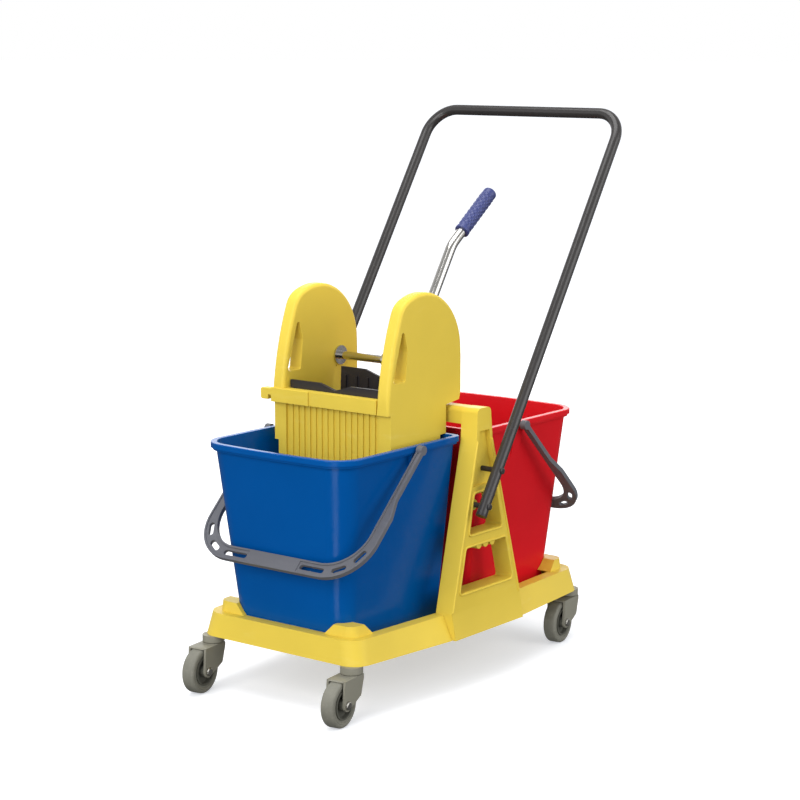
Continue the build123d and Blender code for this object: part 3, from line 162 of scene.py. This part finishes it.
def metal(name, colour, rough, drift, brush):
    """Plated metal with a drawn grain and uneven polish."""
    g = Graph(name)
    tint = g.cloudy(colour, 18.0, 4.0, 1 - drift, 1 + drift)
    polish = g.spread(g.noise(60.0, 4.0), rough * 0.7, rough * 1.3)
    normal = g.bump(g.noise(260.0, 3.0, 0.6, g.stretched(brush)), 0.06, 0.0004)
    return g.done(tint, polish, normal, metallic=1.0)


def paint(name, colour, chip):
    """Powder coat: a fine orange-peel skin with a few rubbed spots."""
    g = Graph(name)
    tint = g.cloudy(colour, 12.0, 4.0, 0.93, 1.08)
    rubbed = g.remap(g.noise(34.0, 6.0, 0.7), 0.66, 0.78, 0.0, 0.25)
    tint = g.mix(rubbed, tint, chip)
    polish = g.spread(g.noise(50.0, 3.0), 0.22, 0.28)
    normal = g.bump(g.noise(700.0, 2.0), 0.03, 0.0004)
    return g.done(tint, polish, normal, specular=0.42)


def rubber(name, colour, dust):
    """Grey wheel rubber with ground-in dust and a matt skin."""
    g = Graph(name)
    tint = g.cloudy(colour, 30.0, 5.0, 0.86, 1.1)
    dirty = g.remap(g.noise(120.0, 5.0, 0.7), 0.55, 0.72, 0.0, 0.4)
    tint = g.mix(dirty, tint, dust)
    polish = g.spread(g.noise(80.0, 3.0), 0.55, 0.72)
    normal = g.bump(g.noise(900.0, 3.0), 0.2, 0.0005)
    return g.done(tint, polish, normal)


looks = {
    "plated_steel": metal("plated_steel_look", srgb(170, 168, 162), 0.30, 0.10, (1.0, 1.0, 6.0)),
    "chrome": metal("chrome_look", srgb(196, 194, 190), 0.16, 0.05, (1.0, 1.0, 8.0)),
    "handle_black": paint("handle_black_look", srgb(52, 50, 50), srgb(86, 82, 81)),
    "tyre_grey": rubber("tyre_grey_look", srgb(126, 125, 114), srgb(148, 146, 135)),
}
bush = srgb(186, 182, 172)
# Slot, colour, scuff colour, roughness, grain, colour drift, scuff amount, specular level
for slot, *values in (
    ("yellow_plastic", srgb(228, 200, 76), srgb(238, 218, 120), 0.36, 0.10, 0.05, 0.22, 0.16),
    ("blue_plastic", srgb(0, 80, 154), srgb(8, 94, 168), 0.20, 0.06, 0.06, 0.15, 0.11),
    ("red_plastic", srgb(220, 28, 38), srgb(228, 52, 56), 0.20, 0.06, 0.06, 0.15, 0.11),
    ("bail_grey", srgb(100, 101, 107), srgb(134, 134, 139), 0.42, 0.14, 0.07, 0.25, 0.3),
    ("black_plastic", srgb(38, 36, 40), srgb(72, 70, 76), 0.38, 0.12, 0.12, 0.25, 0.4),
    ("bush_plastic", bush, scaled(bush, 1.25), 0.45, 0.10, 0.06, 0.25, 0.3),
    ("grip_violet", srgb(62, 70, 122), srgb(98, 104, 150), 0.34, 0.12, 0.08, 0.25, 0.35),
    ("caster_grey", srgb(138, 136, 123), srgb(160, 158, 146), 0.44, 0.14, 0.08, 0.3, 0.3),
    ("hub_grey", srgb(90, 90, 82), srgb(112, 112, 103), 0.58, 0.14, 0.08, 0.3, 0.15),
):
    looks[slot] = plastic(slot + "_look", *values)


# Softened mouldings

def wear(piece, slot):
    piece.data.materials.clear()
    piece.data.materials.append(looks[slot])


def show_as(piece, name):
    """Lets a piece stand for a CAD node: same body, same finish."""
    wear(piece, node_slot[name])
    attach(piece, node_body[name])
    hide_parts(name)


def new_object(name, mesh):
    """Turns a bmesh into a smooth object of the scene."""
    data = bpy.data.meshes.new(name)
    mesh.to_mesh(data)
    mesh.free()
    data.shade_smooth()
    piece = bpy.data.objects.new(name, data)
    scene.collection.objects.link(piece)
    return piece


def softened(name, width):
    """Copy of a CAD node with its sharp edges rounded, as a moulding has them."""
    mesh = bmesh.new()
    mesh.from_mesh(nodes[name].data)
    bmesh.ops.remove_doubles(mesh, verts=mesh.verts, dist=2e-5)
    bmesh.ops.dissolve_limit(mesh, angle_limit=radians(0.4), verts=mesh.verts, edges=mesh.edges)
    piece = new_object(name + "_moulding", mesh)
    bevel = piece.modifiers.new("rounded_edges", "BEVEL")
    bevel.width = width
    bevel.segments = 2
    bevel.limit_method = "ANGLE"
    bevel.angle_limit = radians(28.0)
    bevel.use_clamp_overlap = True
    bevel.miter_outer = "MITER_ARC"
    even = piece.modifiers.new("even_shading", "WEIGHTED_NORMAL")
    even.mode = "FACE_AREA"
    even.weight = 100
    even.keep_sharp = True
    show_as(piece, name)


for name, node in nodes.items():
    wear(node, node_slot[name])

for name, width in (
    ("base_tray", 0.0022),
    ("side_frame_left", 0.0012),
    ("side_frame_right", 0.0012),
    ("wringer_ear_left", 0.0014),
    ("wringer_ear_right", 0.0014),
    ("wringer_front_wall", 0.0010),
    ("wringer_back_wall", 0.0010),
    ("wringer_legs", 0.0010),
    ("wringer_clip", 0.0008),
    ("blue_bucket", 0.0009),
    ("red_bucket", 0.0009),
    ("blue_bail", 0.0008),
    ("red_bail", 0.0008),
):
    softened(name, width)


# Ways of building a mesh

def new_piece(name, mesh):
    """Turns a bmesh into an object, smooth but for its sharp edges."""
    bmesh.ops.recalc_face_normals(mesh, faces=mesh.faces)
    piece = new_object(name, mesh)
    piece.data.set_sharp_from_angle(angle=radians(40))
    return piece


def strip(mesh, rings, loop):
    """Joins rings of points with quads; loop joins the last ring to the first."""
    made = [[mesh.verts.new(point) for point in ring] for ring in rings]
    pairs = list(zip(made, made[1:])) + ([(made[-1], made[0])] if loop else [])
    for low, high in pairs:
        for i in range(len(low)):
            j = (i + 1) % len(low)
            mesh.faces.new((low[i], low[j], high[j], high[i]))
    if not loop:
        mesh.faces.new(made[0][::-1])
        mesh.faces.new(made[-1])


def turned(mesh, profile, foot, axis, sides, relief=None):
    """Closed form turned about an axis from (radius, station) points in metres."""
    axis = axis.normalized()
    across = axis.orthogonal().normalized()
    along = axis.cross(across)
    rings = []
    for turn in range(sides):
        angle = 2 * pi * turn / sides
        out = across * cos(angle) + along * sin(angle)
        ring = []
        for radius, station in profile:
            lift = relief(station, angle) if relief else 0.0
            ring.append(foot + axis * station + out * (radius + lift))
        rings.append(ring)
    strip(mesh, rings, True)


def wire(mesh, path, radius, sides):
    """Round wire along a path of points, with flat ends."""
    side = (path[1] - path[0]).orthogonal().normalized()
    angles = [2 * pi * k / sides for k in range(sides)]
    rings = []
    for i, point in enumerate(path):
        ahead = (path[min(i + 1, len(path) - 1)] - path[max(i - 1, 0)]).normalized()
        side = (side - ahead * side.dot(ahead)).normalized()
        other = ahead.cross(side)
        rings.append([point + (side * cos(a) + other * sin(a)) * radius for a in angles])
    strip(mesh, rings, False)


def bead(mesh, path, normal, half_width, rise, sink, loop):
    """Low rounded lip along a path on a flat face, let into the face by its sink."""
    arch = [pi * k / 6 for k in range(7)]
    rings = []
    last = len(path) - 1
    for i, point in enumerate(path):
        if loop:
            ahead = path[(i + 1) % len(path)] - path[i - 1]
        else:
            ahead = path[min(i + 1, last)] - path[max(i - 1, 0)]
        across = ahead.normalized().cross(normal)
        ring = [point + across * (half_width * cos(a)) + normal * (rise * sin(a)) for a in arch]
        ring += [point + across * (way * half_width) - normal * sink for way in (-1, 1)]
        rings.append(ring)
    strip(mesh, rings, loop)


def rounded(corners, radius, steps=6):
    """Closed path of flat (x, z) corners with each corner turned on an arc."""
    path = []
    count = len(corners)
    for i, corner in enumerate(corners):
        here = Vector(corner)
        back_way = (Vector(corners[i - 1]) - here).normalized()
        on_way = (Vector(corners[(i + 1) % count]) - here).normalized()
        half_angle = back_way.angle(on_way) / 2
        centre = here + (back_way + on_way).normalized() * (radius / sin(half_angle))
        start = here + back_way * (radius / tan(half_angle)) - centre
        end = here + on_way * (radius / tan(half_angle)) - centre
        for k in range(steps + 1):
            path.append(centre + start.lerp(end, k / steps).normalized() * radius)
    return path


# Knurled grip: a thick mouth ring, rows of raised dots and a rounded end

def lever_way(degrees):
    """Direction in the lever's plane, at an angle above the floor."""
    return Vector((cos(radians(degrees)), 0, sin(radians(degrees))))


axle_x, lever_y, axle_z = -0.035, -0.050, 0.534
lever_low, lever_high = lever_way(57.3), lever_way(36.5)
lower_length, upper_length = 0.225, 0.136
grip_length, grip_cap = 0.102, 0.004
bend = Vector((axle_x, lever_y, axle_z)) + lever_low * lower_length
grip_foot = bend + lever_high * (upper_length - grip_length)
dot_rows, dot_pitch, dot_rise = 12, 0.0052, 0.0012
dots_from, dots_to, dot_steps = 0.012, grip_length - 0.008, 126


def dots(station, angle):
    """Height of the staggered dots at a place on the grip."""
    if not dots_from < station < dots_to:
        return 0.0
    row = (station - dots_from) / dot_pitch
    wave = cos(dot_rows * angle) * cos(pi * row)
    return dot_rise * max(0.0, wave) ** 0.7


bore, skin, groove = 0.00903, 0.0118, 0.0114
end_skin, end_round = 0.0122, 0.0039
grip_end, grip_axis = grip_length + grip_cap, 0.0001
grip_profile = [
    (bore, 0.0), (0.0124, 0.0), (0.0130, 0.0008), (0.0131, 0.0040), (0.0128, 0.0062),
    (groove, 0.0072), (groove, 0.0088), (skin, 0.0098),
]
grip_profile += [(skin, dots_from + (dots_to - dots_from) * k / dot_steps) for k in range(dot_steps + 1)]
grip_profile += [
    (skin, grip_length - 0.0065), (end_skin, grip_length - 0.005), (end_skin, grip_length - 0.001),
]
grip_profile += [
    (end_skin - 0.0040 * (1 - cos(a)), grip_length + end_round * sin(a)) for a in (0.3, 0.6, 0.9, 1.2, 1.5)
]
grip_profile += [
    (0.0040, grip_end), (grip_axis, grip_end), (grip_axis, grip_length), (bore, grip_length), (bore, 0.06),
]
mesh = bmesh.new()
turned(mesh, grip_profile, grip_foot, lever_high, 96, dots)
show_as(new_piece("knurled_grip", mesh), "lever_grip")


# Return spring: the same coil, straight legs and hook, in fine round wire

coil_radius, coil_pitch, coil_turns, coil_leg = 0.0090, 0.0042, 6, 0.014
wire_radius, hook_bend = 0.0016, 0.004
coil_start = lever_y - 0.013 - 0.002 - wire_radius
hook_end = -0.1022
coil_steps, leg_steps, bend_steps, hook_steps = 32, 6, 8, 4


def coil(turn):
    angle = pi + 2 * pi * turn
    y = coil_start - coil_pitch * turn
    return Vector((axle_x + coil_radius * cos(angle), y, axle_z + coil_radius * sin(angle)))


turns = [coil(k / coil_steps) for k in range(coil_steps * coil_turns + 1)]
lead_in = (turns[1] - turns[0]).normalized()
lead_out = (turns[-1] - turns[-2]).normalized()
path = [turns[0] - lead_in * (coil_leg * (1 - k / leg_steps)) for k in range(leg_steps)] + turns
path += [turns[-1] + lead_out * (coil_leg * k / leg_steps) for k in range(1, leg_steps + 1)]
leg_end = path[-1]
for k in range(1, bend_steps + 1):
    angle = pi / 2 * k / bend_steps
    outward = Vector((0, -1, 0)) * (hook_bend * (1 - cos(angle)))
    path.append(leg_end + (lead_out * (hook_bend * sin(angle)) + outward))
hook = path[-1]
path += [
    Vector((hook.x, hook.y + (hook_end - hook.y) * k / hook_steps, hook.z)) for k in range(1, hook_steps + 1)
]
mesh = bmesh.new()
wire(mesh, path, wire_radius, 14)
show_as(new_piece("coil_spring", mesh), "return_spring")


# Wheels: tyres with a rounded tread and ringed sides, and a thin lip on each fork's roof

caster_x, caster_y, caster_turn = 0.309, 0.149, radians(8.0)
wheel_trail, wheel_radius = 0.040, 0.0375
fork_half_width = 0.0136
side_rings = [
    (0.0245, 0.0095), (0.0284, 0.0095), (0.0289, 0.0112), (0.0294, 0.0118), (0.0306, 0.0119),
    (0.0312, 0.0113), (0.0319, 0.0113), (0.0325, 0.0119), (0.0333, 0.0118),
]
shoulder_round, shoulder_y = 0.0045, 0.0073
shoulder = [
    (wheel_radius - shoulder_round * (1 - sin(a)), shoulder_y + shoulder_round * cos(a))
    for a in (0.25, 0.5, 0.75, 1.0, 1.25, 1.5)
]
half_tyre = side_rings + shoulder + [(wheel_radius, 0.0035)]
tyre_profile = half_tyre + [(radius, -station) for radius, station in half_tyre[::-1]]
fork_lip = [
    (-0.0240, 0.0775), (-0.0460, 0.0775), (-0.0474, 0.0770), (-0.0480, 0.0762), (-0.0480, 0.0753),
    (-0.0469, 0.0753), (-0.0466, 0.0759), (-0.0460, 0.0761), (-0.0240, 0.0761),
]
for end, sign_x in (("front", -1), ("rear", 1)):
    for side, sign_y in (("left", -1), ("right", 1)):
        corner = end + "_" + side
        turn = Matrix.Translation((caster_x * sign_x, caster_y * sign_y, 0.0))
        turn = turn @ Matrix.Rotation(caster_turn, 4, "Z")
        wheel_at = turn @ Vector((-wheel_trail, 0, wheel_radius))
        mesh = bmesh.new()
        turned(mesh, tyre_profile, wheel_at, turn.to_3x3() @ Vector((0, 1, 0)), 72)
        show_as(new_piece(corner + "_ringed_tyre", mesh), corner + "_tyre")
        ends = [[turn @ Vector((x, y, z)) for x, z in fork_lip] for y in (-fork_half_width, fork_half_width)]
        mesh = bmesh.new()
        strip(mesh, ends, False)
        piece = new_piece(corner + "_fork_lip", mesh)
        wear(piece, "caster_grey")
        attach(piece, corner + "_caster")


# Side frames: raised lips round the windows and along the legs; flat places are (x, z) in mm

frame_lean = radians(1.2)
frame_foot_y, frame_depth, frame_foot_z = 157.5, 33.0, 90.0
lip_half_width, lip_rise, lip_sink = 0.0020, 0.0022, 0.0004
window_round = 7.0
window_loops = [
    rounded([(-77.3, 161), (77.3, 161), (57.6, 239), (-57.6, 239)], window_round),
    rounded([(-49.3, 256), (49.3, 256), (32.5, 327), (-32.5, 327)], window_round),
]
leg_x, leg_inward, leg_z, leg_rise, leg_points = 94.6, 74.5, 136, 276, 24
leg_edges = [
    [
        Vector((sign * (leg_x - leg_inward * k / leg_points), leg_z + leg_rise * k / leg_points))
        for k in range(leg_points + 1)
    ]
    for sign in (-1, 1)
]


def on_face(flat, sign):
    """Place on a side frame's leaning outer face, in metres."""
    y = frame_foot_y + frame_depth / cos(frame_lean) - (flat.y - frame_foot_z) * tan(frame_lean)
    return Vector((flat.x, sign * y, flat.y)) / 1000


for name, sign in (("left", -1), ("right", 1)):
    normal = Vector((0, sign * cos(frame_lean), sin(frame_lean)))
    mesh = bmesh.new()
    for flats, loop in [(flats, True) for flats in window_loops] + [(flats, False) for flats in leg_edges]:
        path = [on_face(flat, sign) for flat in flats]
        bead(mesh, path, normal, lip_half_width, lip_rise, lip_sink, loop)
    piece = new_piece("frame_lips_" + name, mesh)
    wear(piece, "yellow_plastic")
    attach(piece, "chassis")


# Floor: pale and lit a little from within. Its glow also paints shade: it is dimmer near the middle, under
# the trolley, so the shadow there is deeper, and brighter far off so that it runs into the white behind. The
# glow is tinted a little blue so the painted shadow stays a neutral grey.

floor_size = 160.0
# Painted shade: the floor glows less near the middle than far off, which deepens the trolley's shadow.
glow_from, glow_to, shadow_deepening_glow, far_glow = 0.5, 2.5, 0.465, 0.70
bpy.ops.mesh.primitive_plane_add(size=floor_size)
floor = bpy.context.object
floor.name = "studio_floor"
g = Graph("studio_floor_look")
g.done(
    g.mix(g.spread(g.noise(0.6, 2.0)), (0.78, 0.78, 0.78, 1), (0.80, 0.80, 0.80, 1)),
    g.spread(g.noise(30.0), 0.5, 0.6),
    specular=0.0,
)
# Painted shadow: glow that rises with distance from the middle and is dimmest under the trolley.
glow = g.remap(g.distance(), glow_from, glow_to, shadow_deepening_glow, far_glow)
g.link(glow, g.shader.inputs["Emission Strength"])
# Blue tint of the glow, painted to keep the shadow under the trolley a neutral grey.
g.shader.inputs["Emission Color"].default_value = (0.90, 0.93, 1.0, 1.0)
floor.data.materials.append(g.material)
floor.visible_diffuse = False
floor.visible_glossy = False


# World: white round the horizon, dim below and above, with a low bright card that the near bucket mirrors

sky_levels = ((0.43, 0.14), (0.46, 1.0), (0.57, 1.0), (0.85, 0.45))
card_way = Vector((-0.86, -0.35, -0.37)).normalized()
card_edge, card_full, card_strength = radians(15), radians(9), 30.0
world = bpy.data.worlds.new("studio")
scene.world = world
world.use_nodes = True
sky = world.node_tree
background = sky.nodes["Background"]
ray = sky.nodes.new("ShaderNodeTexCoord").outputs["Generated"]

height = sky.nodes.new("ShaderNodeSeparateXYZ")
shift = sky.nodes.new("ShaderNodeMapRange")
shift.inputs["From Min"].default_value = -1.0
fade = sky.nodes.new("ShaderNodeValToRGB")
ramp = fade.color_ramp.elements
for i, (position, level) in enumerate(sky_levels):
    stop = ramp[i] if i < 2 else ramp.new(position)
    stop.position = position
    stop.color = (level, level, level, 1.0)
sky.links.new(ray, height.inputs["Vector"])
sky.links.new(height.outputs["Z"], shift.inputs["Value"])
sky.links.new(shift.outputs["Result"], fade.inputs["Fac"])
sky.links.new(fade.outputs["Color"], background.inputs["Color"])

towards = sky.nodes.new("ShaderNodeVectorMath")
towards.operation = "DOT_PRODUCT"
towards.inputs[1].default_value = card_way
card = sky.nodes.new("ShaderNodeMapRange")
card.interpolation_type = "SMOOTHSTEP"
card.inputs["From Min"].default_value = cos(card_edge)
card.inputs["From Max"].default_value = cos(card_full)
card.inputs["To Min"].default_value = 1.0
card.inputs["To Max"].default_value = card_strength
sky.links.new(ray, towards.inputs[0])
sky.links.new(towards.outputs["Value"], card.inputs["Value"])
sky.links.new(card.outputs["Result"], background.inputs["Strength"])
scene.view_settings.view_transform = "Standard"


# Lights and camera

def soft_light(name, place, target, size, power):
    lamp = bpy.data.lights.new(name, "AREA")
    lamp.shape = "RECTANGLE"
    lamp.size, lamp.size_y = size
    lamp.energy = power
    holder = bpy.data.objects.new(name, lamp)
    holder.location = place
    holder.rotation_euler = (Vector(target) - Vector(place)).to_track_quat("-Z", "Y").to_euler()
    scene.collection.objects.link(holder)


soft_light("key_light", (-3.0, -0.5, 1.9), (0, 0, 0.4), (2.2, 2.2), 55)
soft_light("side_light", (0.6, -3.2, 1.5), (0, 0, 0.4), (2.2, 2.2), 36)
soft_light("back_light", (2.6, 2.4, 1.7), (0, 0, 0.4), (2.2, 2.2), 20)
soft_light("top_light", (-0.3, 0.2, 3.4), (0, 0, 0.3), (2.4, 2.4), 70)

# Solved from the photo: angles, focal length in pixels of an 800 pixel frame, aim and distance
azimuth, elevation = radians(-51.99), radians(9.62)
focal_pixels, frame_pixels, sensor = 2139.09, 800, 36.0
aim, distance = Vector((0.00631, 0.0, 0.45947)), 3.66661
back = Vector((sin(azimuth) * cos(elevation), -cos(azimuth) * cos(elevation), sin(elevation)))
right = Vector((cos(azimuth), sin(azimuth), 0.0))
up = back.cross(right)
place = aim + back * distance
camera = bpy.data.objects.new("camera", bpy.data.cameras.new("camera"))
camera.data.sensor_width = sensor
camera.data.lens = focal_pixels * sensor / frame_pixels
camera.data.clip_end = 100.0
camera.matrix_world = Matrix.Translation(place) @ Matrix((right, up, back)).transposed().to_4x4()
scene.collection.objects.link(camera)
scene.camera = camera
